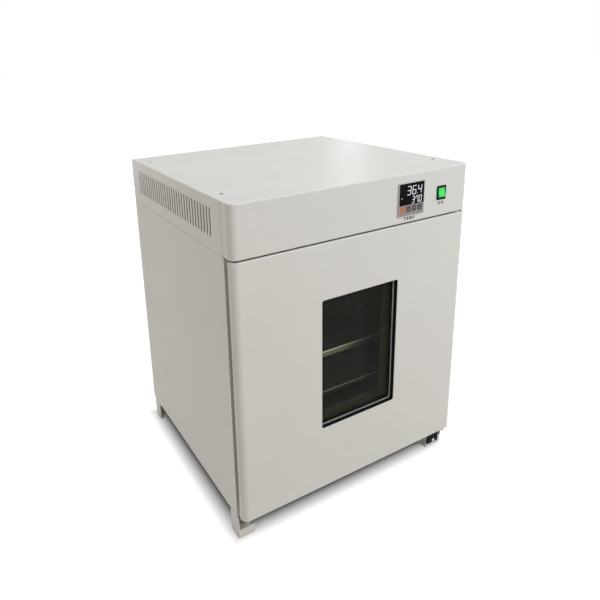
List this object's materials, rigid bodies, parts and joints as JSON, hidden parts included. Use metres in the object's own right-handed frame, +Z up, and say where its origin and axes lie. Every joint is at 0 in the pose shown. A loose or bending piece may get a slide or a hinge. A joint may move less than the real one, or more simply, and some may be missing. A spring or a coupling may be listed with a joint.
{
  "type": "laboratory incubator",
  "caption": "Bench laboratory incubator: steel cabinet on sheet feet, windowed hinged front door, heated chamber with sheet shelves, control strip with temperature controller and lit switch.",
  "frame": {"origin": "centre of the footprint on the surface that the feet stand on", "axes": "+Z up, the door faces -Y, +X to the right when facing the door, hinges on the +X side"},
  "size_m": [0.6, 0.5753, 0.75],
  "materials": {
    "powder_coat": "semi-gloss light grey powder coat",
    "chamber_steel": "satin stainless steel",
    "heater_sheath": "oxidised stainless sheath",
    "wool": "mineral wool",
    "zinc_plate": "zinc plated steel",
    "hinge_black": "black coat",
    "controller_case": "fine grain moulded plastic",
    "display_black": "smoked acrylic",
    "black_plastic": "moulded nylon",
    "terminal_plastic": "moulded plastic",
    "key_orange": "soft touch key",
    "key_grey": "soft touch key",
    "rocker_green": "lit translucent green",
    "black_rubber": "extruded rubber",
    "sleeve_dark": "dark coated sleeve",
    "bright_trim": "bright anodised",
    "dark_glass": "grey tinted glass",
    "bronze": "sintered bronze"
  },
  "bodies": {
    "cabinet": {"side_panel_left": "powder_coat", "side_panel_right": "powder_coat", "back_panel": "powder_coat", "back_panel_screws": "zinc_plate", "base_panel": "powder_coat", "front_frame": "powder_coat", "chamber_liner": "chamber_steel", "insulation_left": "wool", "insulation_right": "wool", "insulation_top": "wool", "insulation_bottom": "wool", "insulation_rear": "wool", "control_deck": "zinc_plate", "top_cover": "powder_coat", "top_cover_screws": "zinc_plate", "control_fascia": "powder_coat", "controller_body": "controller_case", "controller_display": "display_black", "controller_clamp": "black_plastic", "switch_housing": "black_plastic", "solid_state_relay": "black_plastic", "terminal_block": "terminal_plastic", "cable_gland": "black_plastic", "foot_front_left": "powder_coat", "foot_front_right": "powder_coat", "foot_rear_left": "powder_coat", "foot_rear_right": "powder_coat", "hinge_bracket_lower": "hinge_black", "hinge_bracket_screw": "zinc_plate", "hinge_pin_lower": "zinc_plate", "hinge_plate_upper": "zinc_plate", "hinge_pin_upper": "zinc_plate", "heating_element": "heater_sheath", "heater_brackets": "chamber_steel", "chamber_floor": "chamber_steel", "temperature_probe": "chamber_steel", "rack_left": "chamber_steel", "rack_right": "chamber_steel", "shelf_runners_upper": "chamber_steel", "shelf_runners_lower": "chamber_steel"},
    "door": {"door_shell": "powder_coat", "door_liner": "chamber_steel", "door_insulation": "wool", "door_gasket": "black_rubber", "door_liner_screws": "zinc_plate", "window_seal_outer": "black_rubber", "window_seal_inner": "black_rubber", "window_sleeve": "sleeve_dark", "window_trim": "bright_trim", "glass_outer": "dark_glass", "glass_inner": "dark_glass", "hinge_bush_upper": "bronze", "hinge_bush_lower": "bronze"},
    "rocker": {"switch_rocker": "rocker_green"},
    "key_set": {"key_set": "key_orange"},
    "key_shift": {"key_shift": "key_grey"},
    "key_down": {"key_down": "key_grey"},
    "key_up": {"key_up": "key_grey"},
    "shelf_upper": {"shelf_upper": "chamber_steel"},
    "shelf_lower": {"shelf_lower": "chamber_steel"}
  },
  "joints": [
    {"name": "door_hinge", "type": "hinge", "parent": "cabinet", "child": "door", "pos_m": [0.277, -0.2775, 0.35], "axis": [0, 0, 1], "range_deg": [0, 120]},
    {"name": "rocker_tip", "type": "hinge", "parent": "cabinet", "child": "rocker", "pos_m": [0.217, -0.2825, 0.695], "axis": [1, 0, 0], "range_deg": [0, 18]},
    {"name": "key_set_press", "type": "slide", "parent": "cabinet", "child": "key_set", "axis": [0, 1, 0], "range_m": [0, 0.0008], "stiffness_N_per_m": 300},
    {"name": "key_shift_press", "type": "slide", "parent": "cabinet", "child": "key_shift", "axis": [0, 1, 0], "range_m": [0, 0.0008], "stiffness_N_per_m": 300},
    {"name": "key_down_press", "type": "slide", "parent": "cabinet", "child": "key_down", "axis": [0, 1, 0], "range_m": [0, 0.0008], "stiffness_N_per_m": 300},
    {"name": "key_up_press", "type": "slide", "parent": "cabinet", "child": "key_up", "axis": [0, 1, 0], "range_m": [0, 0.0008], "stiffness_N_per_m": 300},
    {"name": "shelf_upper_slide", "type": "slide", "parent": "cabinet", "child": "shelf_upper", "axis": [0, -1, 0], "range_m": [0, 0.02]},
    {"name": "shelf_lower_slide", "type": "slide", "parent": "cabinet", "child": "shelf_lower", "axis": [0, -1, 0], "range_m": [0, 0.02]}
  ]
}
